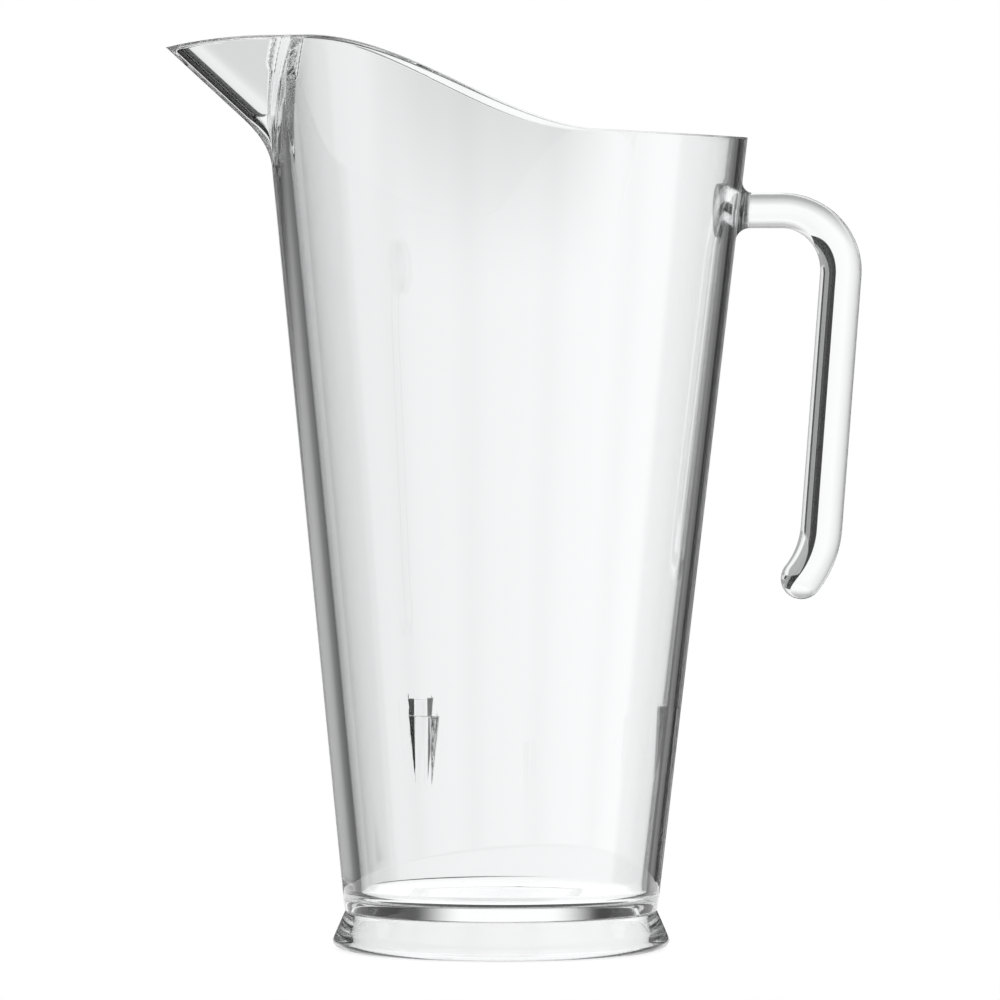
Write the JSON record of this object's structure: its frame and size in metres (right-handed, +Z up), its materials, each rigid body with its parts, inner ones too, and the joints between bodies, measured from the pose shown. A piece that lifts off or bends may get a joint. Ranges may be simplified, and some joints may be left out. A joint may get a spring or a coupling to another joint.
{
  "type": "cocktail jug",
  "caption": "Clear tapered cocktail jug with a swept rim, a pointed pouring lip, an open hook handle, inner stacking lugs and a flared hollow foot.",
  "frame": {"origin": "on the table, in the middle of the overall box seen from above; the foot's centre is 3.7 mm from it towards the lip", "axes": "+Z up, the lip points to -X and the handle to +X, and the jug is the same on both sides of the XZ plane"},
  "size_m": [0.1917, 0.1334, 0.252],
  "materials": {
    "clear_body": "clear colourless moulded plastic, glossy",
    "clear_foot": "clear colourless moulded plastic, glossy, lightly scuffed underneath",
    "clear_handle": "clear colourless moulded plastic, glossy"
  },
  "bodies": {
    "root": {"jug_body": "clear_body", "foot_ring": "clear_foot", "handle": "clear_handle", "handle_plug": "clear_handle", "stacking_lug_handle_side": "clear_body", "stacking_lug_near": "clear_body", "stacking_lug_far": "clear_body"}
  },
  "joints": []
}
